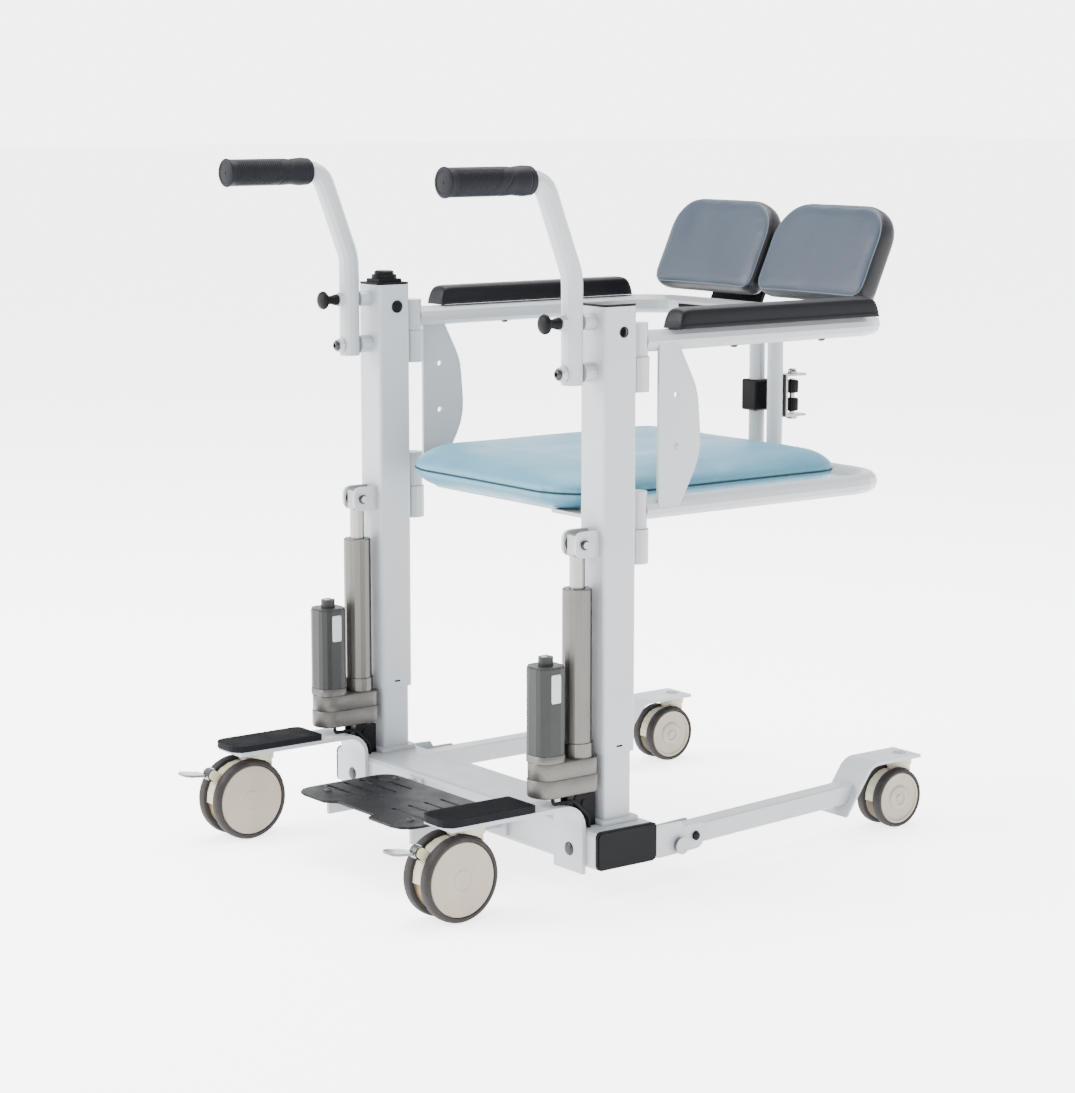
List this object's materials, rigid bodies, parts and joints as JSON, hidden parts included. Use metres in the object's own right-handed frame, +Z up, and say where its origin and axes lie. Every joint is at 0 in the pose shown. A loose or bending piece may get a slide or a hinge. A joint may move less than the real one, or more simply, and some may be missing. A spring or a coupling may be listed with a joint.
{
  "type": "sit to stand lift",
  "caption": "Wheeled sit-to-stand lift: two motorised columns raise a seat between swing gates with arm and back pads, with fold-out push handles and braked casters.",
  "frame": {"origin": "on the floor, midway between the two columns' axes", "axes": "+Z up, -Y towards the footplate and the push handles, +X to the right as seen from the front"},
  "size_m": [0.5446, 0.8323, 0.836],
  "materials": {
    "powder_coat_white": "satin powder coat",
    "black_plastic": "moulded satin",
    "grip_rubber": "matt moulded",
    "zinc_steel": "zinc plated",
    "anodised_aluminium": "satin anodised",
    "cast_housing": "painted casting",
    "motor_shell": "satin",
    "black_powder_coat": "black powder coat",
    "caster_plastic": "moulded nylon",
    "tyre_rubber": "matt tread",
    "seat_vinyl": "smooth coated fabric over foam",
    "back_vinyl": "smooth coated fabric over foam"
  },
  "bodies": {
    "base": {"crossbar": "powder_coat_white", "footplate": "black_powder_coat", "crossbar_cap_R": "black_plastic", "crossbar_cap_L": "black_plastic", "front_leg_R": "powder_coat_white", "front_leg_L": "powder_coat_white", "tread_pad_R": "grip_rubber", "tread_pad_L": "grip_rubber", "inner_column_R": "powder_coat_white", "inner_column_L": "powder_coat_white", "lower_bracket_R": "black_plastic", "lower_bracket_L": "black_plastic", "actuator_gearbox_R": "cast_housing", "actuator_gearbox_L": "cast_housing", "actuator_motor_R": "motor_shell", "actuator_motor_L": "motor_shell", "actuator_tube_R": "anodised_aluminium", "actuator_tube_L": "anodised_aluminium", "actuator_cable_R": "black_plastic", "actuator_cable_L": "black_plastic", "rear_leg_R": "powder_coat_white", "rear_leg_L": "powder_coat_white", "rear_leg_bolt_R": "zinc_steel", "rear_leg_bolt_L": "zinc_steel"},
    "carriage_R": {"outer_column_R": "powder_coat_white", "column_cap_R": "black_plastic", "actuator_rod_R": "zinc_steel", "seat_cushion": "seat_vinyl", "seat_support": "black_powder_coat"},
    "carriage_L": {"outer_column_L": "powder_coat_white", "column_cap_L": "black_plastic", "actuator_rod_L": "zinc_steel"},
    "latch": {"latch_knob": "black_plastic"},
    "handle_R": {"handle_tube_R": "powder_coat_white", "handle_grip_R": "grip_rubber"},
    "plunger_R": {"lock_pin_R": "black_plastic"},
    "gate_R": {"gate_frame_R": "powder_coat_white", "arm_pad_R": "grip_rubber", "back_pad_R": "back_vinyl", "back_bracket_R": "black_plastic", "latch_body": "zinc_steel"},
    "front_swivel_R": {"front_fork_R": "caster_plastic"},
    "front_axle_R": {"front_wheels_R": "tyre_rubber"},
    "brake_R": {"brake_pedal_R": "zinc_steel"},
    "rear_swivel_R": {"rear_fork_R": "caster_plastic"},
    "rear_axle_R": {"rear_wheels_R": "tyre_rubber"},
    "handle_L": {"handle_tube_L": "powder_coat_white", "handle_grip_L": "grip_rubber"},
    "plunger_L": {"lock_pin_L": "black_plastic"},
    "gate_L": {"gate_frame_L": "powder_coat_white", "arm_pad_L": "grip_rubber", "back_pad_L": "back_vinyl", "back_bracket_L": "black_plastic", "latch_block": "black_plastic"},
    "front_swivel_L": {"front_fork_L": "caster_plastic"},
    "front_axle_L": {"front_wheels_L": "tyre_rubber"},
    "brake_L": {"brake_pedal_L": "zinc_steel"},
    "rear_swivel_L": {"rear_fork_L": "caster_plastic"},
    "rear_axle_L": {"rear_wheels_L": "tyre_rubber"}
  },
  "joints": [
    {"name": "lift_R", "type": "slide", "parent": "base", "child": "carriage_R", "axis": [0, 0, 1], "range_m": [0, 0.16]},
    {"name": "handle_fold_R", "type": "hinge", "parent": "carriage_R", "child": "handle_R", "pos_m": [0.226, -0.0525, 0.603], "axis": [0, 1, 0], "range_deg": [0, 110]},
    {"name": "handle_lock_R", "type": "slide", "parent": "handle_R", "child": "plunger_R", "axis": [0, -1, 0], "range_m": [0, 0.008], "stiffness_N_per_m": 600, "springref_m": -0.004},
    {"name": "gate_swing_R", "type": "hinge", "parent": "carriage_R", "child": "gate_R", "pos_m": [0.226, 0.041, 0.54], "axis": [0, 0, -1], "range_deg": [0, 95]},
    {"name": "front_swivel_R", "type": "hinge", "parent": "base", "child": "front_swivel_R", "pos_m": [0.2235, -0.2, 0.1067], "axis": [0, 0, 1], "continuous": true},
    {"name": "front_roll_R", "type": "hinge", "parent": "front_swivel_R", "child": "front_axle_R", "pos_m": [0.2235, -0.2211, 0.05], "axis": [1, 0, 0], "continuous": true},
    {"name": "brake_press_R", "type": "hinge", "parent": "front_swivel_R", "child": "brake_R", "pos_m": [0.2235, -0.2655, 0.0845], "axis": [1, 0, 0], "range_deg": [0, 15]},
    {"name": "rear_swivel_R", "type": "hinge", "parent": "base", "child": "rear_swivel_R", "pos_m": [0.2235, 0.474, 0.0867], "axis": [0, 0, 1], "continuous": true},
    {"name": "rear_roll_R", "type": "hinge", "parent": "rear_swivel_R", "child": "rear_axle_R", "pos_m": [0.2235, 0.458, 0.0375], "axis": [1, 0, 0], "continuous": true},
    {"name": "lift_L", "type": "slide", "parent": "base", "child": "carriage_L", "axis": [0, 0, 1], "range_m": [0, 0.16]},
    {"name": "handle_fold_L", "type": "hinge", "parent": "carriage_L", "child": "handle_L", "pos_m": [-0.226, -0.0525, 0.603], "axis": [0, -1, 0], "range_deg": [0, 110]},
    {"name": "handle_lock_L", "type": "slide", "parent": "handle_L", "child": "plunger_L", "axis": [0, -1, 0], "range_m": [0, 0.008], "stiffness_N_per_m": 600, "springref_m": -0.004},
    {"name": "gate_swing_L", "type": "hinge", "parent": "carriage_L", "child": "gate_L", "pos_m": [-0.226, 0.041, 0.54], "axis": [0, 0, 1], "range_deg": [0, 95]},
    {"name": "front_swivel_L", "type": "hinge", "parent": "base", "child": "front_swivel_L", "pos_m": [-0.2235, -0.2, 0.1067], "axis": [0, 0, 1], "continuous": true},
    {"name": "front_roll_L", "type": "hinge", "parent": "front_swivel_L", "child": "front_axle_L", "pos_m": [-0.2235, -0.2211, 0.05], "axis": [1, 0, 0], "continuous": true},
    {"name": "brake_press_L", "type": "hinge", "parent": "front_swivel_L", "child": "brake_L", "pos_m": [-0.2235, -0.2655, 0.0845], "axis": [1, 0, 0], "range_deg": [0, 15]},
    {"name": "rear_swivel_L", "type": "hinge", "parent": "base", "child": "rear_swivel_L", "pos_m": [-0.2235, 0.474, 0.0867], "axis": [0, 0, 1], "continuous": true},
    {"name": "rear_roll_L", "type": "hinge", "parent": "rear_swivel_L", "child": "rear_axle_L", "pos_m": [-0.2235, 0.458, 0.0375], "axis": [1, 0, 0], "continuous": true},
    {"name": "latch_turn", "type": "hinge", "parent": "gate_R", "child": "latch", "pos_m": [0.0175, 0.471, 0.528], "axis": [0, 0, 1], "range_deg": [0, 90]}
  ],
  "couplings": [
    {"joint": "lift_L", "follows": "lift_R", "ratio": 1}
  ]
}
